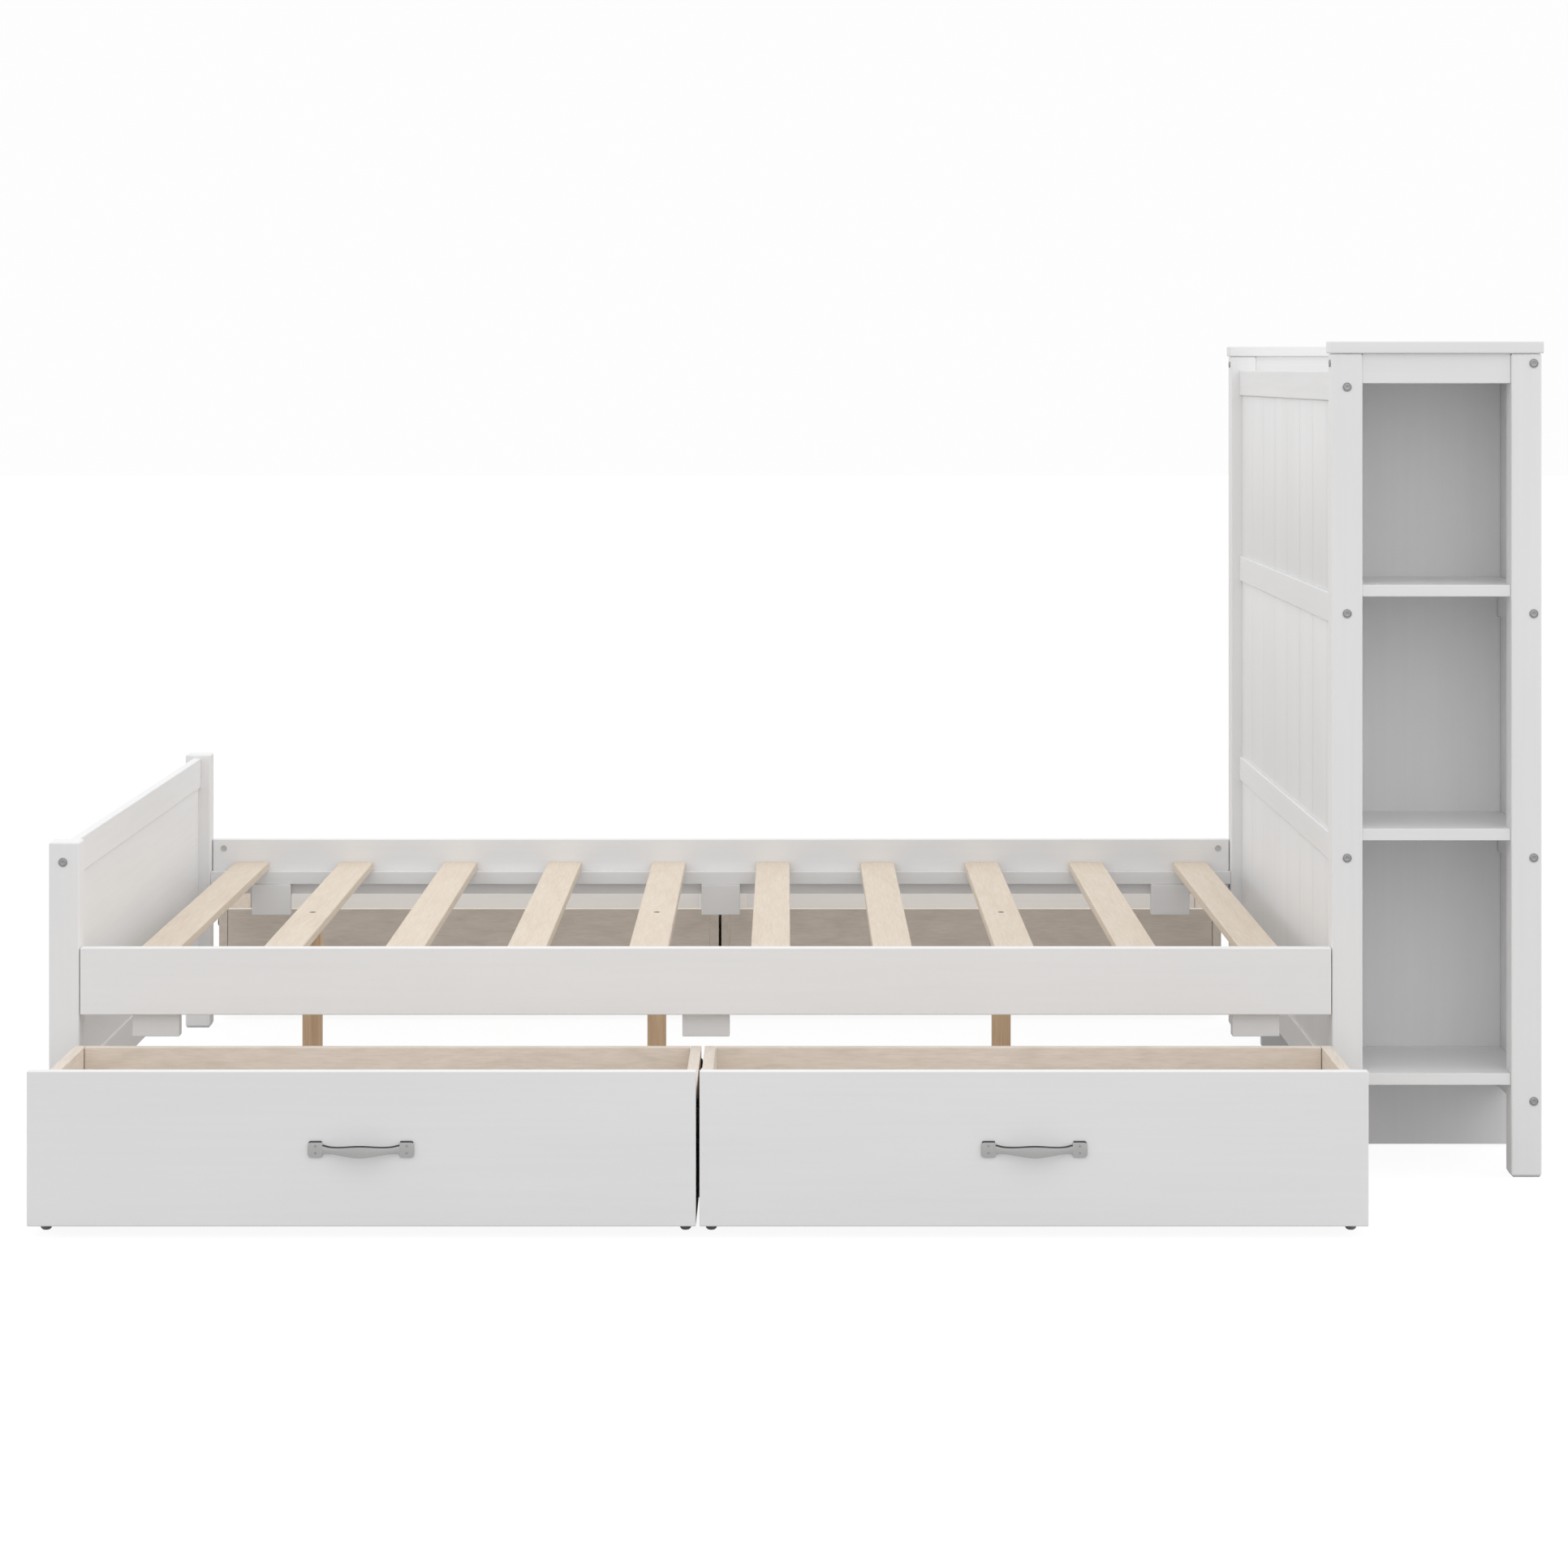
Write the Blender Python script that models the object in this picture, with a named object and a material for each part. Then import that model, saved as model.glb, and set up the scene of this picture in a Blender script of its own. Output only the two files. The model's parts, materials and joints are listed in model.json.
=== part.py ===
"""Platform bed with a bookcase headboard, a slatted deck and four rolling storage drawers.

Units are metres, +Z is up, X runs from the foot to the head, and -Y is the near side. The origin is on
the floor, in the middle of the object's box with the drawers out. The two long sides are mirror images.
"""

from math import cos, pi, sin

import bmesh
import bpy

# Overall frame. BED_ lengths run along X from the foot posts' outer faces.
BED_LENGTH = 2.300
BED_WIDTH = 1.447
POST = 0.047
POST_EDGE = 0.004
GAP = 0.0003
EDGE = 0.0015
FOOT_POST_TOP = 0.516
HEAD_POST_TOP = 1.269
HEAD_POST_AT = 1.977
REAR_POST_AT = BED_LENGTH - POST

# Side rails, and the ledges and stop blocks behind them.
RAIL_THICK = 0.022
RAIL_Z = (0.250, 0.353)
LEDGE_DEEP = 0.020
LEDGE_Z = (0.271, 0.294)
BLOCK_LONG = 0.073
BLOCK_DEEP = 0.024
BLOCK_BOTTOM = 0.213
BLOCK_INSET = 0.078

# Slatted deck.
SLAT_COUNT = 10
SLAT_PITCH = 0.1975
SLAT_WIDE = 0.0635
SLAT_THICK = 0.016
SLAT_HOLE = 0.006
LEG_SLATS = (2, 5, 8)
LEG = 0.0315

# Footboard and headboard: rails between the posts, with thin panels between the rails.
FOOT_RAIL_X = (0.014, 0.029)
FOOT_PANEL_X = (0.019, 0.025)
FOOT_RAILS = {"bottom": (0.091, 0.149), "top": (0.454, 0.509)}
HEAD_RAIL_X = (1.993, 2.008)
HEAD_PANEL_X = (1.998, 2.003)
HEAD_RAILS = {
    "bottom": (0.091, 0.143),
    "lower": (0.469, 0.513),
    "upper": (0.845, 0.892),
    "top": (1.195, 1.242),
}

# Bookcase behind the headboard.
CAP_OVERHANG = 0.003
CAP_Z = (1.269, 1.288)
APRON_BOTTOM = 1.223
APRON_INSET = 0.005
APRON_THICK = 0.037
SHELF_TOPS = {"bottom": 0.159, "middle": 0.536, "top": 0.912}
SHELF_THICK = 0.018
SHELF_INSET = 0.006
PARTITION_INSET = 0.250
PARTITION_THICK = 0.018
PARTITION_CLEAR = 0.003
REAR_RAIL_X = (2.276, 2.298)
REAR_PANEL_X = (2.281, 2.287)
REAR_RAIL_HIGH = 0.045
TOP_BOARD_Z = (1.222, 1.240)

# Drawers. Depths run inwards from the front's outer face.
DRAWER_OUT = 0.429
DRAWER_FOOT_GAP = 0.0006
DRAWER_GAP = 0.0052
DRAWER_HEAD_GAP = 0.0062
FRONT_Z = (0.016, 0.2385)
FRONT_THICK = 0.017
BOX_DEPTH = 0.379
BOX_TOP = 0.211
BOX_INSET = 0.002
BOX_BOARD = 0.0165
CORNER_BLOCK = 0.028
BOTTOM_Z = (0.024, 0.030)
GLIDE_RADIUS = 0.010
GLIDE_INSET = 0.016
GLIDE_FROM_END = 0.057
ROUND_SIDES = 16

# Bow handles.
HANDLE_LONG = 0.152
HANDLE_RISE = 0.022
HANDLE_THICK = 0.0035
PLATE_LONG = 0.021
PLATE_HALF = 0.0117
NECK_HALF = 0.0065
BOW_HALF = 0.0088
NECK_STEP = 0.003
BOW_STEPS = 12

# Colour, roughness and metallic value of each finish.
FINISHES = {
    "white_paint": ((0.80, 0.80, 0.80), 0.38, 0.0),
    "birch": ((0.76, 0.64, 0.50), 0.55, 0.0),
    "drawer_board": ((0.60, 0.50, 0.40), 0.55, 0.0),
    "leg_timber": ((0.38, 0.26, 0.17), 0.60, 0.0),
    "nickel": ((0.56, 0.56, 0.55), 0.32, 1.0),
}

OVERALL_LENGTH = BED_LENGTH + CAP_OVERHANG
NEAR, FAR = -1, 1
SIDES = {"near": NEAR, "far": FAR}


def along(distance):
    """World x of a distance from the foot posts' outer faces."""
    return distance - OVERALL_LENGTH / 2


def across(side, inward):
    """World y of a distance in from one long side's outer face."""
    return side * (BED_WIDTH / 2 - inward)


def span_x(start, end):
    return (along(start), along(end))


def span_y(side, start, end):
    return tuple(sorted((across(side, start), across(side, end))))


def between_posts():
    """The y span between a near post and the far post opposite it."""
    return (across(NEAR, POST + GAP), across(FAR, POST + GAP))


def add_object(name, mesh, finish, centre, holder=None, edge=0.0):
    """Put a mesh into the scene with its finish, its place, its parent and its eased edges."""
    colour, roughness, metallic = FINISHES[finish]
    material = bpy.data.materials.new(name + "_" + finish)
    material.use_nodes = True
    shader = material.node_tree.nodes["Principled BSDF"]
    shader.inputs["Base Color"].default_value = (*colour, 1.0)
    shader.inputs["Roughness"].default_value = roughness
    shader.inputs["Metallic"].default_value = metallic
    mesh.materials.append(material)
    item = bpy.data.objects.new(name, mesh)
    bpy.context.scene.collection.objects.link(item)
    item.location = centre
    if holder:
        item.parent = holder
        item.location = [c - h for c, h in zip(centre, holder.location)]
    if edge:
        bevel = item.modifiers.new("eased_edges", "BEVEL")
        bevel.width = edge
        bevel.segments = 1
        bevel.limit_method = "ANGLE"
    return item


def prism_mesh(name, outline, z):
    """A closed prism over an outline in the XY plane, centred on its own box."""
    xs = [p[0] for p in outline]
    ys = [p[1] for p in outline]
    centre = ((min(xs) + max(xs)) / 2, (min(ys) + max(ys)) / 2, (z[0] + z[1]) / 2)
    bm = bmesh.new()
    flat = [(x - centre[0], y - centre[1]) for x, y in outline]
    rings = [[bm.verts.new((x, y, level - centre[2])) for x, y in flat] for level in z]
    for ring in rings:
        bm.faces.new(ring)
    for i in range(len(outline)):
        j = (i + 1) % len(outline)
        bm.faces.new((rings[0][i], rings[0][j], rings[1][j], rings[1][i]))
    bmesh.ops.recalc_face_normals(bm, faces=bm.faces)
    mesh = bpy.data.meshes.new(name)
    bm.to_mesh(mesh)
    bm.free()
    return mesh, centre


def rectangle(x, y):
    return [(x[0], y[0]), (x[1], y[0]), (x[1], y[1]), (x[0], y[1])]


def notched_rectangle(x, y, notches):
    """A rectangle with a step cut out of each corner, by (x, y), anticlockwise from x[0], y[0]."""
    outline = []
    corners = ((0, 0), (1, 0), (1, 1), (0, 1))
    for index, (i, j) in enumerate(corners):
        cut_x, cut_y = notches[index]
        if cut_x == 0:
            outline.append((x[i], y[j]))
            continue
        inner_x = x[i] + cut_x * (1 - 2 * i)
        inner_y = y[j] + cut_y * (1 - 2 * j)
        step = [(x[i], inner_y), (inner_x, inner_y), (inner_x, y[j])]
        if index % 2:
            step.reverse()
        outline += step
    return outline


def board(name, finish, x, y, z, edge=EDGE, holder=None):
    """A straight board between pairs of x, y and z."""
    mesh, centre = prism_mesh(name, rectangle(x, sorted(y)), z)
    return add_object(name, mesh, finish, centre, holder, edge)


def shaped_board(name, finish, outline, z, edge=EDGE, holder=None):
    """A board cut to an outline in plan."""
    mesh, centre = prism_mesh(name, outline, z)
    return add_object(name, mesh, finish, centre, holder, edge)


def profiled_board(name, finish, outline_xz, y, edge=EDGE):
    """A board or panel with one outline in the XZ plane, running along Y."""
    flat = [(x, -z) for x, z in outline_xz]
    mesh, centre = prism_mesh(name, flat, y)
    item = add_object(name, mesh, finish, (centre[0], centre[2], -centre[1]), None, edge)
    item.rotation_euler = (-pi / 2, 0.0, 0.0)
    return item


def as_tool(item):
    """Mark an object as a tool for a Boolean, which isn't part of the bed."""
    item.hide_render = True
    item.display_type = "WIRE"
    return item


def boolean(item, tool, operation):
    modifier = item.modifiers.new(operation.lower(), "BOOLEAN")
    modifier.operation = operation
    modifier.solver = "EXACT"
    modifier.object = as_tool(tool)


def round_tool(name, centre_xy, radius, z, sides, holder=None):
    """An upright cylinder as an outline in plan, for a hole or a glide."""
    outline = []
    for i in range(sides):
        angle = 2 * pi * (i + 0.5) / sides
        outline.append((centre_xy[0] + radius * cos(angle), centre_xy[1] + radius * sin(angle)))
    return shaped_board(name, "birch", outline, z, 0.0, holder)


def make_posts():
    for label, side in SIDES.items():
        y = span_y(side, 0.0, POST)
        board("foot_post_" + label, "white_paint", span_x(0.0, POST), y, (0.0, FOOT_POST_TOP), POST_EDGE)
        head_x = span_x(HEAD_POST_AT, HEAD_POST_AT + POST)
        rear_x = span_x(REAR_POST_AT, BED_LENGTH)
        board("headboard_post_" + label, "white_paint", head_x, y, (0.0, HEAD_POST_TOP - GAP), POST_EDGE)
        board("bookcase_post_" + label, "white_paint", rear_x, y, (0.0, HEAD_POST_TOP - GAP), POST_EDGE)


def make_footboard():
    for label, z in FOOT_RAILS.items():
        board("footboard_" + label + "_rail", "white_paint", span_x(*FOOT_RAIL_X), between_posts(), z)
    z = (FOOT_RAILS["bottom"][1] + GAP, FOOT_RAILS["top"][0] - GAP)
    board("footboard_panel", "white_paint", span_x(*FOOT_PANEL_X), between_posts(), z, 0.0)


def rail_x():
    """The x span between the foot post and the headboard post."""
    return span_x(POST + GAP, HEAD_POST_AT - GAP)


def make_side_rails():
    """Each side rail, with its ledge for the slats and three blocks that stop the drawer fronts."""
    x = rail_x()
    middle = (x[0] + x[1]) / 2
    block_starts = (x[0] + BLOCK_INSET, middle - BLOCK_LONG / 2, x[1] - BLOCK_INSET - BLOCK_LONG)
    inner = RAIL_THICK + GAP
    for label, side in SIDES.items():
        board("side_rail_" + label, "white_paint", x, span_y(side, 0.0, RAIL_THICK), RAIL_Z)
        ledge_y = span_y(side, inner, inner + LEDGE_DEEP)
        ledge = board("slat_ledge_" + label, "white_paint", x, ledge_y, LEDGE_Z, 0.0)
        block_y = span_y(side, inner + GAP, inner + BLOCK_DEEP)
        block_z = (BLOCK_BOTTOM, LEDGE_Z[0] + 2 * EDGE)
        for number, start in enumerate(block_starts, 1):
            name = "block_" + label + "_" + str(number)
            block = board(name, "white_paint", (start, start + BLOCK_LONG), block_y, block_z, 0.0)
            boolean(ledge, block, "UNION")


def make_deck():
    """Slats on the ledges, and the legs that carry three of them in the middle."""
    x = rail_x()
    middle = (x[0] + x[1]) / 2
    y = (across(NEAR, RAIL_THICK + 2 * GAP), across(FAR, RAIL_THICK + 2 * GAP))
    bottom = LEDGE_Z[1] + GAP
    z = (bottom, bottom + SLAT_THICK)
    for number in range(1, SLAT_COUNT + 1):
        centre = middle + (number - (SLAT_COUNT + 1) / 2) * SLAT_PITCH
        slat_x = (centre - SLAT_WIDE / 2, centre + SLAT_WIDE / 2)
        slat = board("slat_%02d" % number, "birch", slat_x, y, z)
        if number in LEG_SLATS:
            hole_z = (z[0] - SLAT_THICK, z[1] + SLAT_THICK)
            hole = round_tool("hole_%02d" % number, (centre, 0.0), SLAT_HOLE, hole_z, ROUND_SIDES)
            boolean(slat, hole, "DIFFERENCE")
            leg_x = (centre - LEG / 2, centre + LEG / 2)
            leg_name = "support_leg_" + str(LEG_SLATS.index(number) + 1)
            board(leg_name, "leg_timber", leg_x, (-LEG / 2, LEG / 2), (0.0, bottom - GAP))


def make_headboard():
    """Rails between the headboard posts, two panels between them, and a third on the bottom rail."""
    y = between_posts()
    for label in ("lower", "upper", "top"):
        board("headboard_" + label + "_rail", "white_paint", span_x(*HEAD_RAIL_X), y, HEAD_RAILS[label])
    for label, below, above in (("middle", "lower", "upper"), ("upper", "upper", "top")):
        z = (HEAD_RAILS[below][1] + GAP, HEAD_RAILS[above][0] - GAP)
        board("headboard_" + label + "_panel", "white_paint", span_x(*HEAD_PANEL_X), y, z, 0.0)
    rail_front, rail_back = span_x(*HEAD_RAIL_X)
    panel_front, panel_back = span_x(*HEAD_PANEL_X)
    rail_bottom, rail_top = HEAD_RAILS["bottom"]
    panel_top = HEAD_RAILS["lower"][0] - GAP
    outline = [(rail_front, rail_bottom), (rail_back, rail_bottom), (rail_back, rail_top)]
    outline += [(panel_back, rail_top), (panel_back, panel_top)]
    outline += [(panel_front, panel_top), (panel_front, rail_top), (rail_front, rail_top)]
    profiled_board("headboard_bottom_rail", "white_paint", outline, y, 0.0)


def rear_rail_spans():
    """Heights of the rails on the rear panel: under each shelf, and one at the top of the posts."""
    spans = []
    for label in ("bottom", "middle", "top"):
        shelf_bottom = SHELF_TOPS[label] - SHELF_THICK
        spans.append((shelf_bottom - GAP - REAR_RAIL_HIGH, shelf_bottom - GAP))
    spans.append((HEAD_POST_TOP - 2 * GAP - REAR_RAIL_HIGH, HEAD_POST_TOP - 2 * GAP))
    return spans


def make_rear_panel():
    """The back of the bookcase: one sheet with four rails, which stand proud of it on both faces."""
    faces = []
    for rail_x, sheet_x in zip(span_x(*REAR_RAIL_X), span_x(*REAR_PANEL_X)):
        face = []
        for bottom, top in rear_rail_spans():
            face += [(sheet_x, bottom), (rail_x, bottom), (rail_x, top), (sheet_x, top)]
        faces.append(face[1:-1])
    outline = faces[0] + faces[1][::-1]
    profiled_board("rear_panel", "white_paint", outline, between_posts(), 0.0)


def make_partitions():
    """Upright boards that close off the two shelf stacks, notched round the rear panel's rails.

    Below the lowest rail there is no panel behind them, so they reach back as far as the rails do.
    """
    front = along(HEAD_RAIL_X[1] + GAP)
    back = along(REAR_PANEL_X[0] - GAP)
    notch = along(REAR_RAIL_X[0] - GAP)
    foot_back = along(REAR_RAIL_X[1])
    top = TOP_BOARD_Z[0] - GAP
    outline = [(foot_back, PARTITION_CLEAR)]
    for number, (low, high) in enumerate(rear_rail_spans()[:3]):
        below = back if number else foot_back
        outline += [(below, low - GAP), (notch, low - GAP), (notch, high + GAP), (back, high + GAP)]
    outline += [(back, top), (front, top), (front, PARTITION_CLEAR)]
    for label, side in SIDES.items():
        y = span_y(side, PARTITION_INSET, PARTITION_INSET + PARTITION_THICK)
        profiled_board("partition_" + label, "white_paint", outline, y, 0.0)


def make_shelves():
    """Three shelves a side, notched round the posts at their open end."""
    x = span_x(HEAD_RAIL_X[1] + GAP, REAR_PANEL_X[0] - GAP)
    notch_y = POST + GAP - SHELF_INSET
    front_notch = (HEAD_POST_AT + POST - HEAD_RAIL_X[1], notch_y)
    rear_notch = (REAR_PANEL_X[0] - REAR_POST_AT, notch_y)
    for label, side in SIDES.items():
        y = span_y(side, SHELF_INSET, PARTITION_INSET - GAP)
        plain = (0.0, 0.0)
        notches = [front_notch, rear_notch, plain, plain]
        if side == FAR:
            notches = [plain, plain, rear_notch, front_notch]
        outline = notched_rectangle(x, y, notches)
        for level, top in SHELF_TOPS.items():
            name = "shelf_" + level + "_" + label
            shaped_board(name, "white_paint", outline, (top - SHELF_THICK, top), 0.0)


def make_bookcase_tops():
    """A cap over each pair of head posts, with an apron below it, and the top board between the aprons."""
    cap_x = span_x(HEAD_POST_AT - CAP_OVERHANG, BED_LENGTH + CAP_OVERHANG)
    apron_x = span_x(HEAD_POST_AT + POST + GAP, REAR_POST_AT - GAP)
    for label, side in SIDES.items():
        cap_y = span_y(side, -CAP_OVERHANG, POST + CAP_OVERHANG)
        cap = board("bookcase_cap_" + label, "white_paint", cap_x, cap_y, CAP_Z, 0.0)
        apron_y = span_y(side, APRON_INSET, APRON_INSET + APRON_THICK)
        apron_z = (APRON_BOTTOM, (CAP_Z[0] + CAP_Z[1]) / 2)
        apron = board("apron_" + label, "white_paint", apron_x, apron_y, apron_z, 0.0)
        boolean(cap, apron, "UNION")
    x = span_x(HEAD_RAIL_X[1] + GAP, REAR_RAIL_X[0] - GAP)
    inward = APRON_INSET + APRON_THICK + GAP
    y = (across(NEAR, inward), across(FAR, inward))
    notch_y = POST + GAP - inward
    front_notch = (HEAD_POST_AT + POST - HEAD_RAIL_X[1], notch_y)
    rear_notch = (REAR_RAIL_X[0] - REAR_POST_AT, notch_y)
    outline = notched_rectangle(x, y, [front_notch, rear_notch, rear_notch, front_notch])
    shaped_board("top_board", "white_paint", outline, TOP_BOARD_Z, 0.0)


def drawer_box_outline(x, y_front, y_back, side):
    """The plan of a drawer's side boards, back board and front corner blocks, open towards the front."""
    inward = -side
    board_in = BOX_BOARD
    block = BOX_BOARD + CORNER_BLOCK
    half = (x[1] - x[0]) / 2
    centre = (x[0] + x[1]) / 2
    inner_back = y_back - inward * BOX_BOARD
    right_side = [
        (half, y_back),
        (half, y_front),
        (half - block, y_front),
        (half - block, y_front + inward * CORNER_BLOCK),
        (half - board_in, y_front + inward * CORNER_BLOCK),
        (half - board_in, inner_back),
    ]
    left_side = [(-dx, y) for dx, y in reversed(right_side)]
    return [(centre + dx, y) for dx, y in right_side + left_side]


def section_ring(bm, x, inner, outer, half, side):
    """One four-cornered cross-section of a handle at x, from its inner to its outer face."""
    corners = ((inner, -half), (outer, -half), (outer, half), (inner, half))
    return [bm.verts.new((x, side * offset, dz)) for offset, dz in corners]


def handle_sections():
    """Places, face offsets and half heights along a bow handle, from one end to the other."""
    half_long = HANDLE_LONG / 2
    inner_end = half_long - PLATE_LONG
    bow = inner_end - NECK_STEP
    sections = [(-half_long, 0.0, PLATE_HALF), (-inner_end, 0.0, PLATE_HALF)]
    for step in range(BOW_STEPS + 1):
        x = bow * (2 * step / BOW_STEPS - 1)
        rise = HANDLE_RISE * cos(pi / 2 * x / inner_end)
        half = NECK_HALF + (BOW_HALF - NECK_HALF) * (1 - abs(x) / bow)
        sections.append((x, rise, half))
    sections += [(inner_end, 0.0, PLATE_HALF), (half_long, 0.0, PLATE_HALF)]
    return sections


def make_handle(name, centre_x, face_y, side, holder):
    """A flat strap that bows out between two end plates."""
    bm = bmesh.new()
    rings = []
    for x, rise, half in handle_sections():
        rings.append(section_ring(bm, x, rise + GAP, rise + HANDLE_THICK, half, side))
    for first, second in zip(rings, rings[1:]):
        for i in range(4):
            j = (i + 1) % 4
            bm.faces.new((first[i], first[j], second[j], second[i]))
    bm.faces.new(rings[0])
    bm.faces.new(rings[-1])
    bmesh.ops.recalc_face_normals(bm, faces=bm.faces)
    mesh = bpy.data.meshes.new(name)
    bm.to_mesh(mesh)
    bm.free()
    middle_z = (FRONT_Z[0] + FRONT_Z[1]) / 2
    add_object(name, mesh, "nickel", (centre_x, face_y, middle_z), holder)


def make_drawer(label, x, box_x, side):
    """One rolling drawer, pulled out: its front, box, bottom and handle, held by an empty on its slide."""
    face_y = side * (BED_WIDTH / 2 + DRAWER_OUT)
    inward = -side
    holder = bpy.data.objects.new("drawer_" + label, None)
    bpy.context.scene.collection.objects.link(holder)
    centre_x = (x[0] + x[1]) / 2
    holder.location = (centre_x, face_y, 0.0)
    front_y = (face_y, face_y + inward * FRONT_THICK)
    board("drawer_" + label + "_front", "white_paint", x, front_y, FRONT_Z, EDGE, holder)

    y_front = face_y + inward * (FRONT_THICK + GAP)
    y_back = face_y + inward * BOX_DEPTH
    outline = drawer_box_outline(box_x, y_front, y_back, side)
    box_z = (FRONT_Z[0], BOX_TOP)
    box = shaped_board("drawer_" + label + "_box", "drawer_board", outline, box_z, 0.0, holder)
    glide_z = (0.0, BOTTOM_Z[0] - 2 * GAP)
    glide_places = ((0, face_y, 1), (1, face_y, 1), (0, y_back, -1), (1, y_back, -1))
    for number, (i, end_y, sign) in enumerate(glide_places, 1):
        glide_x = box_x[i] + GLIDE_INSET * (1 - 2 * i)
        glide_y = end_y + sign * inward * GLIDE_FROM_END
        name = "glide_" + label + "_" + str(number)
        glide = round_tool(name, (glide_x, glide_y), GLIDE_RADIUS, glide_z, ROUND_SIDES, holder)
        boolean(box, glide, "UNION")

    inner = BOX_BOARD + GAP
    bottom_x = (box_x[0] + inner, box_x[1] - inner)
    bottom_y = sorted((y_front, y_back - inward * inner))
    notch = (CORNER_BLOCK, CORNER_BLOCK + GAP)
    plain = (0.0, 0.0)
    notches = [notch, notch, plain, plain] if side == NEAR else [plain, plain, notch, notch]
    bottom = notched_rectangle(bottom_x, bottom_y, notches)
    shaped_board("drawer_" + label + "_bottom", "drawer_board", bottom, BOTTOM_Z, 0.0, holder)
    make_handle("drawer_" + label + "_handle", centre_x, face_y, side, holder)


def make_drawers():
    """Two drawers a side, between the foot posts and the headboard posts.

    Where two drawers meet, their boxes are flush with the ends of their fronts.
    """
    start = along(POST + DRAWER_FOOT_GAP)
    end = along(HEAD_POST_AT - DRAWER_HEAD_GAP)
    foot_end = (start + end - DRAWER_GAP) / 2
    head_start = (start + end + DRAWER_GAP) / 2
    for label, side in SIDES.items():
        make_drawer(label + "_foot", (start, foot_end), (start + BOX_INSET, foot_end), side)
        make_drawer(label + "_head", (head_start, end), (head_start, end - BOX_INSET), side)


def main():
    for item in list(bpy.data.objects):
        bpy.data.objects.remove(item)
    make_posts()
    make_footboard()
    make_side_rails()
    make_deck()
    make_headboard()
    make_rear_panel()
    make_partitions()
    make_shelves()
    make_bookcase_tops()
    make_drawers()
    bpy.context.view_layer.update()


main()
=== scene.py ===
"""Looks of a white platform bed with a bookcase headboard, birch slats and four rolling drawers.

Units are metres, +Z is up, X runs from the foot to the head and -Y is the near side. Places come from the
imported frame; the values below add what the frame's plain solids leave out, such as eased edges, grooves,
bolt heads and the finishes.
"""

import json
from math import cos, pi, radians, sin, tau

import bmesh
import bpy
from mathutils import Matrix, Vector

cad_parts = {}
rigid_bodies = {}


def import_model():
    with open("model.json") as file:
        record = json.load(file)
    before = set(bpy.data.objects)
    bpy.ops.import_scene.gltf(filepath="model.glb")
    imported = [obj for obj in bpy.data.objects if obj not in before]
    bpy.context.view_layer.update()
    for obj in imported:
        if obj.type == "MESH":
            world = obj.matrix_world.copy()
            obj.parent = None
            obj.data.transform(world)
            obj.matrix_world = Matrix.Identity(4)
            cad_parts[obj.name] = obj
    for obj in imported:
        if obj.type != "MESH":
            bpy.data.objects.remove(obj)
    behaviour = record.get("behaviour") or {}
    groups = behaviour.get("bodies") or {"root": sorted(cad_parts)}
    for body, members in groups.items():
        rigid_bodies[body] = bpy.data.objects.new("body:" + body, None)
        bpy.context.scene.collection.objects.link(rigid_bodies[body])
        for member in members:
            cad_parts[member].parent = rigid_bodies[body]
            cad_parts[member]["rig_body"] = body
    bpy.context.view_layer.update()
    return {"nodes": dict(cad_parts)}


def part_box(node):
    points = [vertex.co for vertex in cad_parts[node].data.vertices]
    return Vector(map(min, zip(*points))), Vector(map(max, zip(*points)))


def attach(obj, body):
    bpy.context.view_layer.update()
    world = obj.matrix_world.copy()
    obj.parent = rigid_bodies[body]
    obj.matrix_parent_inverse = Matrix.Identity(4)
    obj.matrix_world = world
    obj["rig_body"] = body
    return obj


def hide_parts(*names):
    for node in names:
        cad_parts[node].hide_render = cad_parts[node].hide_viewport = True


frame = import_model()

GAP = 0.0003
NEAR, FAR = -1, 1
SIDES = {"near": NEAR, "far": FAR}
DRAWERS = [(label, place) for label in SIDES for place in ("foot", "head")]
SHELVES = ("bottom", "middle", "top")
HOLED_SLATS = (2, 5, 8)
SLAT_COUNT = 10

# Eased edges.
EASE_SEGMENTS = 3
SHAPED_SEGMENTS = 2
ROUND_BEVEL = 0.5
RAIL_EASE = 0.0018
THIN_EASE = 0.0009
PANEL_EASE = 0.0004
CAP_EASE = 0.0022
FRONT_EASE = 0.0018
SLAT_EASE = 0.0022
POST_EASE = 0.0030
POST_TOP_EASE = 0.0035
POST_FOOT_CHAMFER = 0.0050
POST_FOOT_INSET = 0.0030
SMALLEST_CORNER = 0.0008
CORNER_STEPS = 4
END_SEAM = 0.0009

# How a shaped solid's outline is found: points welded, flat faces joined, sharp edges eased.
WELD_DISTANCE = 1e-5
FLAT_WITHIN = radians(1.0)
SHARP_BEYOND = radians(40.0)

# Pieces that the frame holds joined to a neighbour.
HEAD_BOTTOM_RAIL_HIGH = 0.052
REAR_RAIL_HIGH = 0.045
REAR_SHEET_SET_BACK = 0.005
REAR_SHEET_THICK = 0.006
CAP_THICK = 0.019
CAP_OVERHANG = 0.003
APRON_INSET = 0.005
APRON_THICK = 0.037
LEDGE_DEEP = 0.020
LEDGE_HIGH = 0.023
BLOCK_LONG = 0.073
BLOCK_INSET = 0.078
BLOCK_EASE = 0.0015
BOX_BOARD = 0.0165
CORNER_BLOCK = 0.028

# Grooves between the headboard's planks.
PLANKS = 8
GROOVE_HALF = 0.0022
GROOVE_DEEP = 0.0022

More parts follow.
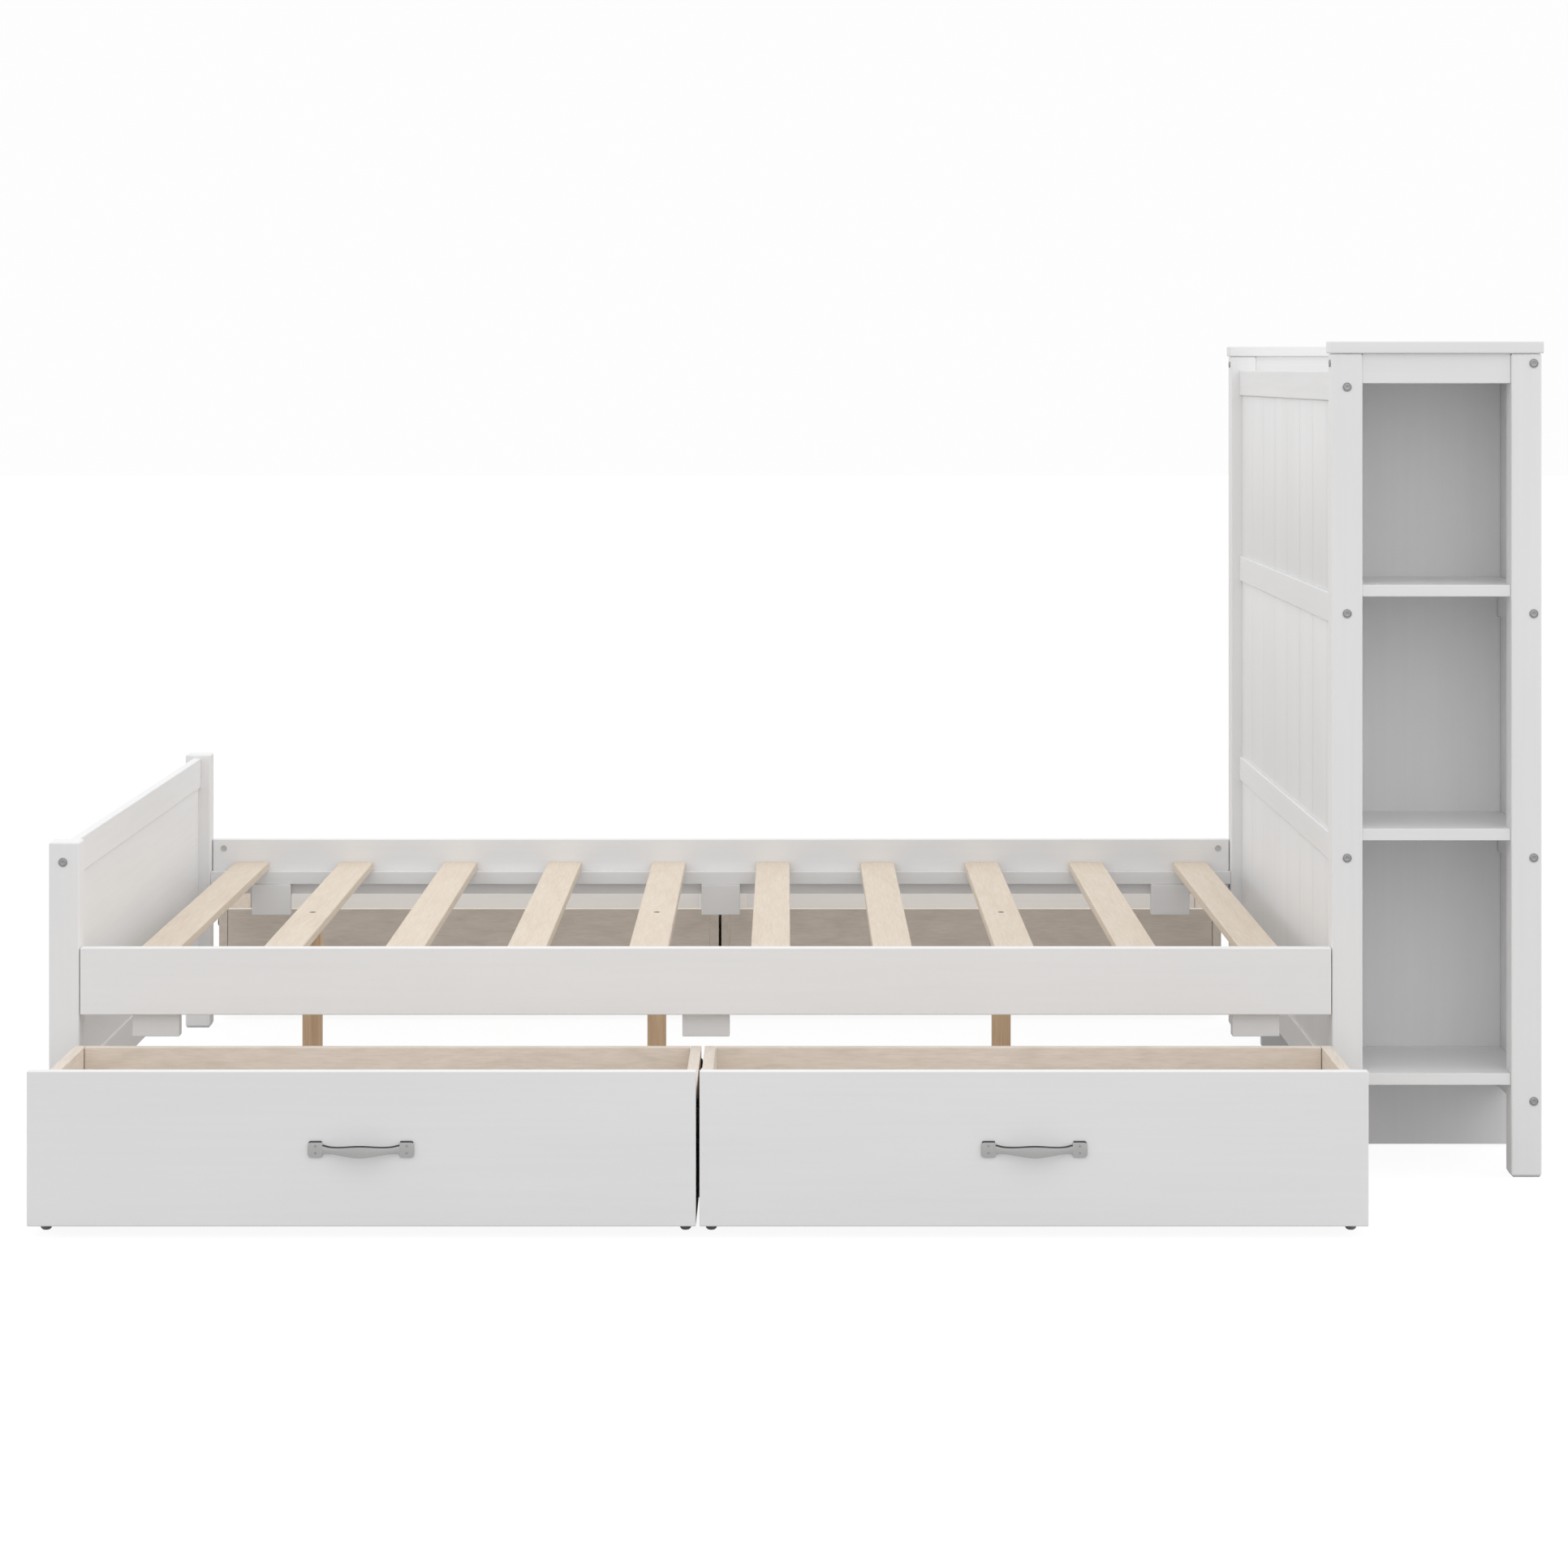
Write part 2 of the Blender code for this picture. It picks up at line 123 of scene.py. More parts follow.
# Fasteners. A profile is (height, radius, shape) from the seat outwards.
ROUND, HEX = "round", "hex"
TURN_SIDES = 24
BOLT_PROFILE = (
    (0.0, 0.0070, ROUND),
    (0.0008, 0.0070, ROUND),
    (0.0013, 0.0066, ROUND),
    (0.0013, 0.0061, ROUND),
    (0.0007, 0.0058, ROUND),
    (0.0007, 0.0055, ROUND),
    (0.0014, 0.0050, ROUND),
    (0.0014, 0.0030, HEX),
    (0.0003, 0.0028, HEX),
)
EDGE_BOLT_PROFILE = (
    (0.0, 0.0058, ROUND),
    (0.0012, 0.0058, ROUND),
    (0.0019, 0.0052, ROUND),
    (0.0020, 0.0044, ROUND),
    (0.0020, 0.0026, HEX),
    (0.0006, 0.0024, HEX),
)
NUT_PROFILE = (
    (0.0, 0.0060, ROUND),
    (0.0006, 0.0060, ROUND),
    (0.0009, 0.0056, ROUND),
    (0.0009, 0.0042, ROUND),
    (0.0002, 0.0038, ROUND),
)
BLACK_BOLT_PROFILE = (
    (0.0, 0.0075, ROUND),
    (0.0009, 0.0075, ROUND),
    (0.0018, 0.0066, ROUND),
    (0.0023, 0.0048, ROUND),
    (0.0024, 0.0027, HEX),
    (0.0010, 0.0025, HEX),
)
SLAT_BOLT_PROFILE = (
    (0.0, 0.0057, ROUND),
    (0.0070, 0.0057, ROUND),
    (0.0074, 0.0055, ROUND),
    (0.0074, 0.0051, ROUND),
    (0.0025, 0.0048, ROUND),
    (0.0025, 0.0027, HEX),
    (0.0010, 0.0025, HEX),
)
SLAT_BOLT_DOWN = 0.0077
SCREW_PROFILE = (
    (0.0, 0.0019, ROUND),
    (0.0003, 0.0018, ROUND),
    (0.0005, 0.0013, ROUND),
    (0.0005, 0.0007, HEX),
    (0.0002, 0.0006, HEX),
)
FOOT_BOLT_HEIGHTS = (0.120, 0.485)
HEAD_BOLT_HEIGHTS = (0.117, 0.4915, 0.868, 1.217)
REAR_BOLT_HEIGHTS = (0.117, 0.492, 0.868, 1.2535)
HEAD_FACE_BOLT_HEIGHT = 1.2535
FOOT_BOLT_FROM_END = 0.022
HEAD_BOLT_FROM_FRONT = 0.023
REAR_BOLT_FROM_BACK = 0.0125
NUT_FROM_END = 0.022
NUT_HEIGHT = 0.336
SIDE_BOLT_HEIGHTS = (0.055, 0.120, 0.1857)
SIDE_BOLT_BEHIND_FRONT = 0.032
SIDE_BOLT_FROM_BACK = 0.0078

# Drawer glides, from the top of a glide to the floor.
GLIDE_PROFILE = (
    (0.0232, 0.0080, ROUND),
    (0.0150, 0.0088, ROUND),
    (0.0060, 0.0088, ROUND),
    (0.0022, 0.0074, ROUND),
    (0.0004, 0.0052, ROUND),
)
GLIDE_INSET = 0.016
GLIDE_BEHIND_BOX_FRONT = 0.0397
GLIDE_FROM_BACK = 0.057

# Bow handles. The plates' inner corners are (before the plate's end, taken off its half height).
HANDLE_LONG = 0.152
HANDLE_RISE = 0.0215
HANDLE_THICK = 0.0032
HANDLE_EASE = 0.0004
HANDLE_TOP_EASE = (0.0013, 0.0019)
PLATE_LONG = 0.021
PLATE_HALF = 0.0117
PLATE_CORNER = 0.0045
PLATE_INNER_CORNER = ((0.0024, 0.0), (0.0012, 0.0005), (0.0003, 0.0022))
BOW_HALF = 0.0088
NECK_HALF = 0.0052
ROOT_HALF = 0.0064
NECK_AT = 0.80
BOW_STEPS = 28
SCREW_UP = 0.0050
# Handle faces that point up more than this are painted dark: painted shade on the upper edges.
SHADED_EDGE_FACING = 0.45

# Finishes. A grain is a noise: (scale along, scale across, detail, roughness), with its scales per metre.
# A roughness range is how far the roughness goes (below, above) its middle. A bump is (strength, distance).
PAINT_PALE = (0.870, 0.869, 0.872)
PAINT_DEEP = (0.836, 0.835, 0.839)
PAINT_ROUGHNESS = 0.40
PAINT_ROUGHNESS_RANGE = (0.04, 0.08)
PAINT_GRAIN = (3.0, 110.0, 4.0, 0.6)
PAINT_MOTTLE = (1.6, 7.0, 3.0, 0.5)
PAINT_PEEL = (420.0, 420.0, 1.0, 0.5)
PAINT_GRAIN_SHARE = 0.35
PAINT_MOTTLE_SHARE = 0.65
PAINT_PEEL_SHARE = 0.35
PAINT_BUMP = (0.3, 0.00018)

# Timbers: (pale, deep, number of growth rings, length of the figure, roughness).
TIMBERS = {
    "birch": ((0.785, 0.682, 0.563), (0.70, 0.585, 0.46), 24.0, 1.0, 0.50),
    "drawer_board": ((0.795, 0.712, 0.63), (0.655, 0.577, 0.495), 34.0, 0.45, 0.55),
    "leg_timber": ((0.82, 0.60, 0.385), (0.58, 0.39, 0.245), 40.0, 1.5, 0.58),
}
TIMBER_FIGURE = (1.6, 10.0, 1.5, 0.45)
TIMBER_STREAK = (9.0, 130.0, 4.0, 0.6)
TIMBER_FIBRE = (18.0, 420.0, 2.0, 0.6)
TIMBER_ROUGHNESS_RANGE = (0.06, 0.08)
RING_SHARPNESS = 3.0
RING_SHARE = 0.26
STREAK_SHARE = 0.40
FIBRE_SHARE = 0.38
TIMBER_BUMP = (0.3, 0.00015)

# Metals: (colour, roughness, metallic).
METALS = {
    "nickel": ((0.64, 0.64, 0.635), 0.34, 1.0),
    # A near-black nickel for the handles' upward-facing edges: painted shade, not the metal's own colour.
    "nickel_painted_shade": ((0.09, 0.09, 0.09), 0.50, 1.0),
    "bolt_grey": ((0.47, 0.47, 0.475), 0.40, 1.0),
    "bolt_black": ((0.025, 0.024, 0.023), 0.45, 0.0),
}
METAL_GRAIN = (900.0, 2600.0, 2.0, 0.5)
METAL_ROUGHNESS_RANGE = (0.05, 0.08)
METAL_DEEPER = 0.86
METAL_BUMP = (0.1, 0.00003)

GLIDE_COLOUR = (0.25, 0.25, 0.25)
GLIDE_ROUGHNESS = 0.6
MOULDED_GRAIN = (1500.0, 1500.0, 2.0, 0.5)
MOULDED_DEEPER = 0.8
MOULDED_BUMP = (0.2, 0.0001)

# Ranges that values are spread from, and the range that a blend takes.
MIDDLE_NOISE = (0.35, 0.65)
MOST_NOISE = (0.3, 0.7)
WAVE = (-1.0, 1.0)
UNIT = (0.0, 1.0)

# Sockets of a Mix node that blends two colours.
MIX_FACTOR, MIX_FIRST, MIX_SECOND = 0, 6, 7
MIX_RESULT = 2

# Stage.
SURROUND = 0.985
KEY_SIZE = 5.0
KEY_POWER = 18.0
KEY_AT = (0.8, -5.0, 3.8)
LIGHT_AIM = (0.0, 0.0, 0.5)
FILL_SIZE = 6.0
FILLS = {"fill_foot": ((-9.0, -1.0, 3.9), 88.0), "fill_head": ((9.0, -1.0, 6.3), 205.0)}
FLOOR_HALF = 40.0
FLOOR_ROUGHNESS = 0.9
FLOOR_SHOWN_LEVEL = -0.0005
FLOOR_SHOWN_TONE = 0.11
FLOOR_SHOWN_GLOW = 0.92
FLOOR_BOUNCE_LEVEL = -0.0010
FLOOR_BOUNCE_TONE = 0.38
FLOOR_BOUNCE_GLOW = 0.12

# Camera, in the middle of the bed's length and level.
CAMERA_AT = (-0.0145, -6.8775, 1.2435)
CAMERA_LENS = 91.74
CAMERA_SENSOR = 36.0
CAMERA_SHIFT = (-0.0018, -0.2641)


# ---------------------------------------------------------------------------------------------- finishes


def new_finish(name, roughness):
    material = bpy.data.materials.new(name)
    material.use_nodes = True
    tree = material.node_tree
    shader = tree.nodes["Principled BSDF"]
    shader.inputs["Roughness"].default_value = roughness
    return material, tree, shader


def noise(tree, axis, grain, length=1.0):
    """A grain along an axis, placed in metres on the piece, so that a finish moves with its piece."""
    along, across, detail, roughness = grain
    coords = tree.nodes.new("ShaderNodeTexCoord")
    mapping = tree.nodes.new("ShaderNodeMapping")
    mapping.inputs["Scale"].default_value = [along / length if name == axis else across for name in "xyz"]
    tree.links.new(coords.outputs["Object"], mapping.inputs["Vector"])
    made = tree.nodes.new("ShaderNodeTexNoise")
    made.inputs["Scale"].default_value = 1.0
    made.inputs["Detail"].default_value = detail
    made.inputs["Roughness"].default_value = roughness
    tree.links.new(mapping.outputs["Vector"], made.inputs["Vector"])
    return made.outputs["Fac"]


def computed(tree, operation, first, second=None):
    """The result of a Math node on sockets or numbers."""
    made = tree.nodes.new("ShaderNodeMath")
    made.operation = operation
    for socket, value in zip(made.inputs, (first, second)):
        if value is None:
            continue
        if isinstance(value, (int, float)):
            socket.default_value = value
        else:
            tree.links.new(value, socket)
    return made.outputs["Value"]


def weighted_sum(tree, *terms):
    """The sum of (value, share) terms."""
    total = None
    for value, share in terms:
        part = computed(tree, "MULTIPLY", value, share)
        total = part if total is None else computed(tree, "ADD", total, part)
    return total


def spread(tree, value, taken, given=UNIT):
    """Map a value from the range taken to the range given, held inside the second."""
    made = tree.nodes.new("ShaderNodeMapRange")
    for name, number in zip(("From Min", "From Max", "To Min", "To Max"), (*taken, *given)):
        made.inputs[name].default_value = number
    tree.links.new(value, made.inputs["Value"])
    return made.outputs["Result"]


def colour_by(tree, shader, factor, pale, deep):
    mix = tree.nodes.new("ShaderNodeMix")
    mix.data_type = "RGBA"
    tree.links.new(factor, mix.inputs[MIX_FACTOR])
    mix.inputs[MIX_FIRST].default_value = (*pale, 1.0)
    mix.inputs[MIX_SECOND].default_value = (*deep, 1.0)
    tree.links.new(mix.outputs[MIX_RESULT], shader.inputs["Base Color"])


def roughen_by(tree, shader, value, below, above):
    """Let the roughness follow a noise, from below its middle to above it."""
    socket = shader.inputs["Roughness"]
    middle = socket.default_value
    tree.links.new(spread(tree, value, MOST_NOISE, (middle - below, middle + above)), socket)


def bump_by(tree, shader, height, strength, distance):
    bump = tree.nodes.new("ShaderNodeBump")
    bump.inputs["Strength"].default_value = strength
    bump.inputs["Distance"].default_value = distance
    tree.links.new(height, bump.inputs["Height"])
    tree.links.new(bump.outputs["Normal"], shader.inputs["Normal"])


def painted_finish(axis):
    """Satin white paint, through which the timber's grain shows very faintly."""
    material, tree, shader = new_finish("white_paint_" + axis, PAINT_ROUGHNESS)
    grain = noise(tree, axis, PAINT_GRAIN)
    peel = noise(tree, axis, PAINT_PEEL)
    mottle = noise(tree, axis, PAINT_MOTTLE)
    tone = weighted_sum(tree, (mottle, PAINT_MOTTLE_SHARE), (grain, PAINT_GRAIN_SHARE))
    colour_by(tree, shader, spread(tree, tone, MIDDLE_NOISE), PAINT_PALE, PAINT_DEEP)
    roughen_by(tree, shader, grain, *PAINT_ROUGHNESS_RANGE)
    height = computed(tree, "ADD", grain, computed(tree, "MULTIPLY", peel, PAINT_PEEL_SHARE))
    bump_by(tree, shader, height, *PAINT_BUMP)
    return material


def timber_finish(name, axis, pale, deep, ring_count, length, roughness):
    """Clear timber: long nested growth figure, soft streaks and fine fibres along the grain."""
    material, tree, shader = new_finish(name + "_" + axis, roughness)
    figure = noise(tree, axis, TIMBER_FIGURE, length)
    waves = computed(tree, "SINE", computed(tree, "MULTIPLY", figure, ring_count))
    rings = computed(tree, "POWER", spread(tree, waves, WAVE), RING_SHARPNESS)
    streak = noise(tree, axis, TIMBER_STREAK, length)
    fibre = noise(tree, axis, TIMBER_FIBRE, length)
    tone = weighted_sum(
        tree,
        (rings, RING_SHARE),
        (spread(tree, streak, MIDDLE_NOISE), STREAK_SHARE),
        (spread(tree, fibre, MIDDLE_NOISE), FIBRE_SHARE),
    )
    colour_by(tree, shader, tone, pale, deep)
    roughen_by(tree, shader, fibre, *TIMBER_ROUGHNESS_RANGE)
    bump_by(tree, shader, computed(tree, "ADD", fibre, streak), *TIMBER_BUMP)
    return material


def metal_finish(name, colour, roughness, metallic):
    """Plated or blackened steel with a very fine satin grain, and the near-black nickel of the painted shade
    on the handles' upper edges.
    """
    material, tree, shader = new_finish(name, roughness)
    shader.inputs["Metallic"].default_value = metallic
    fine = noise(tree, "x", METAL_GRAIN)
    deep = tuple(METAL_DEEPER * c for c in colour)
    colour_by(tree, shader, spread(tree, fine, MOST_NOISE), colour, deep)
    roughen_by(tree, shader, fine, *METAL_ROUGHNESS_RANGE)
    bump_by(tree, shader, fine, *METAL_BUMP)
    return material


def moulded_finish(name, colour):
    """Moulded plastic with a fine matt texture."""
    material, tree, shader = new_finish(name, GLIDE_ROUGHNESS)
    fine = noise(tree, "x", MOULDED_GRAIN)
    deep = tuple(MOULDED_DEEPER * c for c in colour)
    colour_by(tree, shader, spread(tree, fine, MOST_NOISE), colour, deep)
    bump_by(tree, shader, fine, *MOULDED_BUMP)
    return material


def make_finish(slot, axis):
    if slot in TIMBERS:
        return timber_finish(slot, axis, *TIMBERS[slot])
    if slot in METALS:
        return metal_finish(slot, *METALS[slot])
    if slot == "glide":
        return moulded_finish(slot, GLIDE_COLOUR)
    return painted_finish(axis)


finishes = {}


def finish_of(slot, axis="x"):
    if (slot, axis) not in finishes:
        finishes[(slot, axis)] = make_finish(slot, axis)
    return finishes[(slot, axis)]


# -------------------------------------------------------------------------------------------- mesh tools


def add_piece(name, bm, slot, axis, body, *nodes):
    """Put a mesh into the scene as a piece with its finish, on its body, in place of frame nodes."""
    bmesh.ops.recalc_face_normals(bm, faces=bm.faces)
    mesh = bpy.data.meshes.new(name)
    bm.to_mesh(mesh)
    bm.free()
    mesh.shade_smooth()
    mesh.materials.append(finish_of(slot, axis))
    piece = bpy.data.objects.new(name, mesh)
    bpy.context.scene.collection.objects.link(piece)
    normals = piece.modifiers.new("flat_faces", "WEIGHTED_NORMAL")
    normals.keep_sharp = True
    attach(piece, body)
    if nodes:
        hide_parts(*nodes)
    return piece


def body_of_node(node):
    return frame["nodes"][node]["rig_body"]


def outer_y(node, side):
    """The y of a node's face towards its own side of the bed."""
    low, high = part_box(node)
    return high.y if side == FAR else low.y


def inner_y(node, side):
    """The y of a node's face towards the middle of the bed."""
    return outer_y(node, -side)


def bevel_edges(bm, edges, ease, segments):
    bmesh.ops.bevel(
        bm,
        geom=edges,
        offset=ease,
        segments=segments,
        profile=ROUND_BEVEL,
        affect="EDGES",
        clamp_overlap=True,
    )


def eased_box(low, high, ease):
    """A box whose edges and corners are rounded by ease."""
    bm = bmesh.new()
    bmesh.ops.create_cube(bm, size=1.0)
    for vert in bm.verts:
        vert.co = Vector([low[i] + (vert.co[i] + 0.5) * (high[i] - low[i]) for i in range(3)])
    bevel_edges(bm, bm.edges[:], ease, EASE_SEGMENTS)
    return bm


def rebuild_board(node, slot, axis, ease):
    """A straight board of the frame again, with eased edges."""
    low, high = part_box(node)
    add_piece(node + "_board", eased_box(low, high, ease), slot, axis, body_of_node(node), node)


def rebuild_shaped(node, slot, axis, ease):
    """A notched or drilled board of the frame again: its own outline with eased edges."""
    bm = bmesh.new()
    bm.from_mesh(frame["nodes"][node].data)
    bmesh.ops.remove_doubles(bm, verts=bm.verts, dist=WELD_DISTANCE)
    bmesh.ops.dissolve_limit(bm, angle_limit=FLAT_WITHIN, verts=bm.verts, edges=bm.edges)
    sharp = [e for e in bm.edges if len(e.link_faces) == 2 and e.calc_face_angle() > SHARP_BEYOND]
    bevel_edges(bm, sharp, ease, SHAPED_SEGMENTS)
    add_piece(node + "_board", bm, slot, axis, body_of_node(node), node)


def bridge_rings(bm, rings):
    """Faces between rings of equal length, and a cap on the first and the last."""
    count = len(rings[0])
    for first, second in zip(rings, rings[1:]):
        for i in range(count):
            j = (i + 1) % count
            bm.faces.new((first[i], first[j], second[j], second[i]))
    bm.faces.new(rings[0])
    bm.faces.new(rings[-1])


def rounded_rectangle(centre, half, radius):
    """Points of a rectangle in plan with rounded corners."""
    points = []
    for quarter, (i, j) in enumerate(((1, 1), (-1, 1), (-1, -1), (1, -1))):
        corner = (centre[0] + i * (half[0] - radius), centre[1] + j * (half[1] - radius))
        for step in range(CORNER_STEPS + 1):
            angle = pi / 2 * (quarter + step / CORNER_STEPS)
            points.append((corner[0] + radius * cos(angle), corner[1] + radius * sin(angle)))
    return points


def rebuild_post(node):
    """A square post: rounded along its length and round its top, chamfered at its foot."""
    low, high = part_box(node)
    centre = (low + high) / 2
    half = (high - low) / 2
    levels = [(low.z, POST_FOOT_INSET), (low.z + POST_FOOT_CHAMFER, 0.0)]
    for step in range(CORNER_STEPS + 1):
        angle = pi / 2 * step / CORNER_STEPS
        drop = POST_TOP_EASE * (1 - sin(angle))
        levels.append((high.z - drop, POST_TOP_EASE * (1 - cos(angle))))
    bm = bmesh.new()
    rings = []
    for z, inset in levels:
        radius = max(POST_EASE - inset, SMALLEST_CORNER)
        outline = rounded_rectangle(centre, (half.x - inset, half.y - inset), radius)
        rings.append([bm.verts.new((x, y, z)) for x, y in outline])
    bridge_rings(bm, rings)
    add_piece(node + "_board", bm, "white_paint", "z", body_of_node(node), node)


def outline_radius(shape, angle, radius):
    """How far out an outline lies at an angle: a circle, or a hexagon with its corners on the radius."""
    if shape == ROUND:
        return radius
    return radius * cos(pi / 6) / cos((angle % (pi / 3)) - pi / 6)


def turn_onto(bm, profile, seat, direction):
    """Add a turned shape on a seat point, with its profile going out along a direction."""
    turn = Vector((0.0, 0.0, 1.0)).rotation_difference(Vector(direction)).to_matrix().to_4x4()
    place = Matrix.Translation(seat) @ turn
    rings = []
    for height, radius, shape in profile:
        ring = []
        for i in range(TURN_SIDES):
            angle = tau * i / TURN_SIDES
            r = outline_radius(shape, angle, radius)
            ring.append(bm.verts.new(place @ Vector((r * cos(angle), r * sin(angle), height))))
        rings.append(ring)
    bridge_rings(bm, rings)


def add_turned(name, profile, seats, direction, slot, body, *nodes):
    """A group of equal turned shapes, such as the bolt heads on one face."""
    bm = bmesh.new()
    for seat in seats:
        turn_onto(bm, profile, seat, direction)
    add_piece(name, bm, slot, "x", body, *nodes)


# -------------------------------------------------------------------------------- posts, rails and deck


def make_posts():
    for label in SIDES:
        for kind in ("foot_post_", "headboard_post_", "bookcase_post_"):
            rebuild_post(kind + label)


def make_post_bolts():
    """Bolt heads on the posts' outer faces, and one on each head post's face towards the mattress."""
    for label, side in SIDES.items():
        foot_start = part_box("foot_post_" + label)[0].x
        head_low, head_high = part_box("headboard_post_" + label)
        rear_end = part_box("bookcase_post_" + label)[1].x
        face = outer_y("foot_post_" + label, side)
        rows = (
            ("foot_post", foot_start + FOOT_BOLT_FROM_END, FOOT_BOLT_HEIGHTS),
            ("headboard_post", head_low.x + HEAD_BOLT_FROM_FRONT, HEAD_BOLT_HEIGHTS),
            ("bookcase_post", rear_end - REAR_BOLT_FROM_BACK, REAR_BOLT_HEIGHTS),
        )
        for kind, x, heights in rows:
            seats = [(x, face, z) for z in heights]
            add_turned(kind + "_bolts_" + label, BOLT_PROFILE, seats, (0, side, 0), "bolt_grey", "frame")
        seat = (head_low.x, (head_low.y + head_high.y) / 2, HEAD_FACE_BOLT_HEIGHT)
        name = "headboard_face_bolt_" + label
        add_turned(name, EDGE_BOLT_PROFILE, [seat], (-1, 0, 0), "bolt_grey", "frame")


def make_side_rail(label, side):
    """A side rail, with the barrel nuts on its inner face."""
    rail = "side_rail_" + label
    low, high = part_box(rail)
    seam = Vector((END_SEAM, 0.0, 0.0))
    bm = eased_box(low + seam, high - seam, RAIL_EASE)
    add_piece(rail + "_board", bm, "white_paint", "x", "frame", rail)
    face = inner_y(rail, side)
    seats = [(x, face, NUT_HEIGHT) for x in (low.x + NUT_FROM_END, high.x - NUT_FROM_END)]
    add_turned("barrel_nuts_" + label, NUT_PROFILE, seats, (0, -side, 0), "nickel", "frame")


def make_ledge(label, side):
    """The strip that the slats lie on, with the drawers' stop blocks below it."""
    node = "slat_ledge_" + label
    low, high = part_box(node)
    rail_side_y = outer_y(node, side)
    ledge_y = sorted((rail_side_y, rail_side_y - side * LEDGE_DEEP))
    ledge_low = (low.x, ledge_y[0], high.z - LEDGE_HIGH)
    ledge_high = (high.x, ledge_y[1], high.z)
    bm = eased_box(ledge_low, ledge_high, PANEL_EASE)
    add_piece("ledge_strip_" + label, bm, "white_paint", "x", "frame", node)

    middle = (low.x + high.x) / 2
    starts = (low.x + BLOCK_INSET, middle - BLOCK_LONG / 2, high.x - BLOCK_INSET - BLOCK_LONG)
    for number, start in enumerate(starts, 1):
        block_high = (start + BLOCK_LONG, high.y, high.z - LEDGE_HIGH - GAP)
        bm = eased_box((start, low.y, low.z), block_high, BLOCK_EASE)
        add_piece("stop_block_%s_%d" % (label, number), bm, "white_paint", "x", "frame", node)


def make_sides():
    for label, side in SIDES.items():
        make_side_rail(label, side)
        make_ledge(label, side)


def make_deck():
    """Slats, the legs under three of them, and the bolts sunk into those three."""
    seats = []
    for number in range(1, SLAT_COUNT + 1):
        node = "slat_%02d" % number
        if number in HOLED_SLATS:
            rebuild_shaped(node, "birch", "y", THIN_EASE)
            low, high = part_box(node)
            centre = (low + high) / 2
            seats.append((centre.x, centre.y, high.z - SLAT_BOLT_DOWN))
        else:
            rebuild_board(node, "birch", "y", SLAT_EASE)
    add_turned("slat_bolts", SLAT_BOLT_PROFILE, seats, (0, 0, 1), "bolt_black", "frame")
    for number in range(1, len(HOLED_SLATS) + 1):
        rebuild_board("support_leg_%d" % number, "leg_timber", "z", THIN_EASE)


# ------------------------------------------------------------------------- footboard, headboard, bookcase


def grooved_panel_mesh(low, high, grooves):
    """A panel facing -X with upright V grooves at the given y places."""
    outline = [(high[0], high[1]), (high[0], low[1]), (low[0], low[1])]
    for y in grooves:
        outline += [(low[0], y - GROOVE_HALF), (low[0] + GROOVE_DEEP, y), (low[0], y + GROOVE_HALF)]
    outline.append((low[0], high[1]))
    bm = bmesh.new()
    bridge_rings(bm, [[bm.verts.new((x, y, z)) for x, y in outline] for z in (low[2], high[2])])
    return bm


def make_footboard():
    for label in ("top", "bottom"):
        rebuild_board("footboard_" + label + "_rail", "white_paint", "y", RAIL_EASE)
    rebuild_board("footboard_panel", "white_paint", "y", PANEL_EASE)


def make_headboard():
    for label in ("lower", "upper", "top"):
        rebuild_board("headboard_" + label + "_rail", "white_paint", "y", RAIL_EASE)
    panel_low, panel_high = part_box("headboard_middle_panel")
    pitch = (panel_high.y - panel_low.y) / PLANKS
    grooves = [panel_low.y + pitch * i for i in range(1, PLANKS)]
    for label in ("middle", "upper"):
        node = "headboard_" + label + "_panel"
        low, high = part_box(node)
        bm = grooved_panel_mesh(low, high, grooves)
        add_piece(node + "_planks", bm, "white_paint", "z", "frame", node)

    node = "headboard_bottom_rail"
    low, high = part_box(node)
    rail_top = low.z + HEAD_BOTTOM_RAIL_HIGH
    bm = eased_box(low, (high.x, high.y, rail_top), THIN_EASE)
    add_piece(node + "_board", bm, "white_paint", "y", "frame", node)
    bm = grooved_panel_mesh((panel_low.x, low.y, rail_top + GAP), (panel_high.x, high.y, high.z), grooves)
    add_piece("headboard_lowest_panel_planks", bm, "white_paint", "z", "frame", node)


def make_rear_panel():
    """The bookcase's back: a thin sheet held by four rails that stand proud of it on both faces."""
    node = "rear_panel"
    low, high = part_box(node)
    sheet_front = low.x + REAR_SHEET_SET_BACK
    sheet_low = (sheet_front, low.y, low.z + THIN_EASE)
    sheet_high = (sheet_front + REAR_SHEET_THICK, high.y, high.z - THIN_EASE)
    add_piece("rear_sheet", eased_box(sheet_low, sheet_high, PANEL_EASE), "white_paint", "z", "frame", node)
    tops = [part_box("shelf_" + level + "_near")[0].z - GAP for level in SHELVES]
    for number, top in enumerate(tops + [high.z], 1):
        rail_low = (low.x, low.y, top - REAR_RAIL_HIGH)
        rail_high = (high.x, high.y, top)
        bm = eased_box(rail_low, rail_high, RAIL_EASE)
        add_piece("rear_rail_%d" % number, bm, "white_paint", "y", "frame", node)


def make_cap(label, side):
    """The cap over a pair of head posts, with the apron below it."""
    node = "bookcase_cap_" + label
    low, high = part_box(node)
    cap_low = (low.x, low.y, high.z - CAP_THICK)
    add_piece(node + "_board", eased_box(cap_low, high, CAP_EASE), "white_paint", "x", "frame", node)
    outer = outer_y(node, side) - side * (CAP_OVERHANG + APRON_INSET)
    apron_y = sorted((outer, outer - side * APRON_THICK))
    apron_x = (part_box("headboard_post_" + label)[1].x + GAP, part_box("bookcase_post_" + label)[0].x - GAP)
    apron_low = (apron_x[0], apron_y[0], low.z)
    apron_high = (apron_x[1], apron_y[1], high.z - CAP_THICK - GAP)
    bm = eased_box(apron_low, apron_high, THIN_EASE)
    add_piece("apron_" + label, bm, "white_paint", "x", "frame", node)


